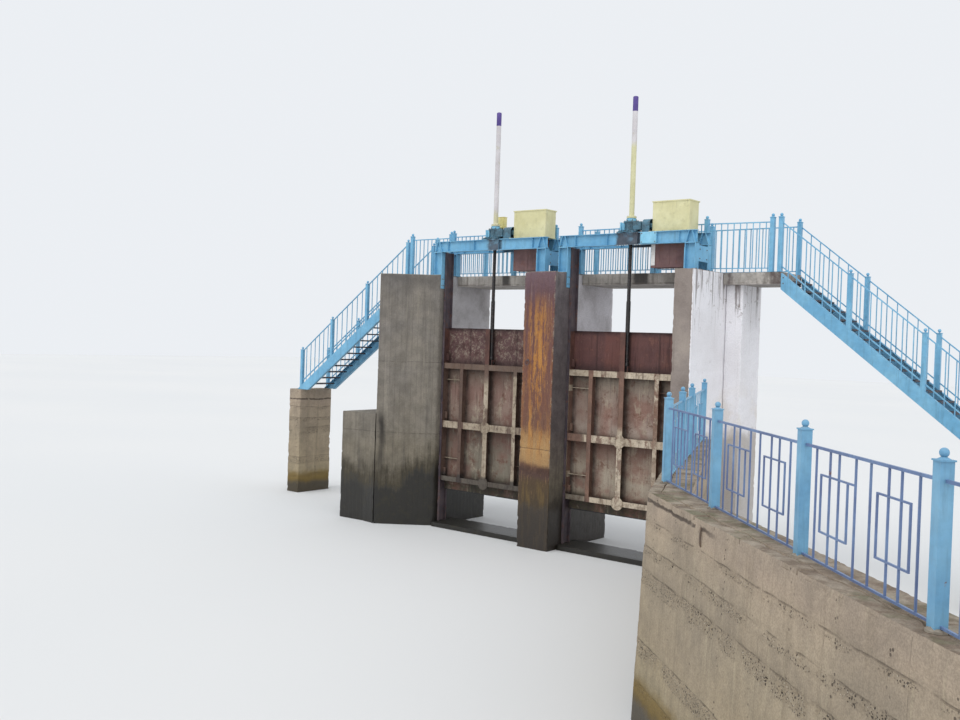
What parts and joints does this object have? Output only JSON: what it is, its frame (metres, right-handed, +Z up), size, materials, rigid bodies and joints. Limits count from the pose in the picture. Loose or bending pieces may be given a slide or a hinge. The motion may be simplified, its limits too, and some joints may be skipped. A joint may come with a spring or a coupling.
{
  "type": "vertical lift sluice gate",
  "caption": "Sluice gate with twin steel lift gates on screw stems between concrete piers, hoists on blue steel frames, a railed walkway with stairs and a fenced wing wall.",
  "frame": {"origin": "on the foot of the middle pier, in the middle of its width, under the plane of the gates", "axes": "+X along the dam line to the right seen from downstream, +Y upstream, +Z up"},
  "size_m": [24.391, 16.3637, 10.44],
  "materials": {
    "pier_concrete": "matte weathered",
    "rust_streaked_concrete": "matte stained",
    "whitewashed_concrete": "matte",
    "slab_concrete": "matte",
    "wall_concrete": "matte",
    "dark_steel": "matte",
    "gate_skin": "rusty",
    "gate_red": "rusty matte",
    "gate_frame": "rusty",
    "greased_stem": "greased",
    "blue_paint": "satin",
    "gearbox_paint": "oily",
    "cream_paint": "satin",
    "primer_brown": "matte",
    "white_tube": "satin",
    "tread_steel": "worn"
  },
  "bodies": {
    "structure": {"left_pier": "pier_concrete", "middle_pier": "rust_streaked_concrete", "right_pier": "whitewashed_concrete", "landing_wall": "whitewashed_concrete", "bay_sills": "pier_concrete", "walkway_slab": "slab_concrete", "left_abutment": "pier_concrete", "right_wing_wall": "wall_concrete", "wing_wall_return": "wall_concrete", "wing_wall_coping": "wall_concrete", "stair_footings": "wall_concrete", "left_bay_guides": "dark_steel", "right_bay_guides": "dark_steel", "left_hoist_beams": "blue_paint", "left_hoist_end_frames": "blue_paint", "left_gearbox": "gearbox_paint", "left_stem_cover": "white_tube", "left_cabinet": "cream_paint", "left_cabinet_base": "primer_brown", "right_hoist_beams": "blue_paint", "right_hoist_end_frames": "blue_paint", "right_gearbox": "gearbox_paint", "right_stem_cover": "cream_paint", "right_cabinet": "cream_paint", "right_cabinet_base": "primer_brown", "deck_front_railing": "blue_paint", "deck_rear_railing": "blue_paint", "landing_railings": "blue_paint", "right_stair_stringers": "blue_paint", "right_stair_treads": "tread_steel", "right_stair_railings": "blue_paint", "left_stair_stringers": "blue_paint", "left_stair_treads": "tread_steel", "left_stair_railings": "blue_paint", "fence_posts": "blue_paint", "return_fence_panels": "blue_paint", "front_fence_panels": "blue_paint"},
    "left_gate": {"left_gate_skin": "gate_skin", "left_gate_top_plates": "gate_red", "left_gate_frame": "gate_frame", "left_gate_stem": "greased_stem"},
    "right_gate": {"right_gate_skin": "gate_skin", "right_gate_top_plates": "gate_red", "right_gate_frame": "gate_frame", "right_gate_stem": "greased_stem"}
  },
  "joints": [
    {"name": "left_gate_lift", "type": "slide", "parent": "structure", "child": "left_gate", "axis": [0, 0, 1], "range_m": [-0.8, 1.3]},
    {"name": "right_gate_lift", "type": "slide", "parent": "structure", "child": "right_gate", "axis": [0, 0, 1], "range_m": [-0.8, 1.3]}
  ]
}
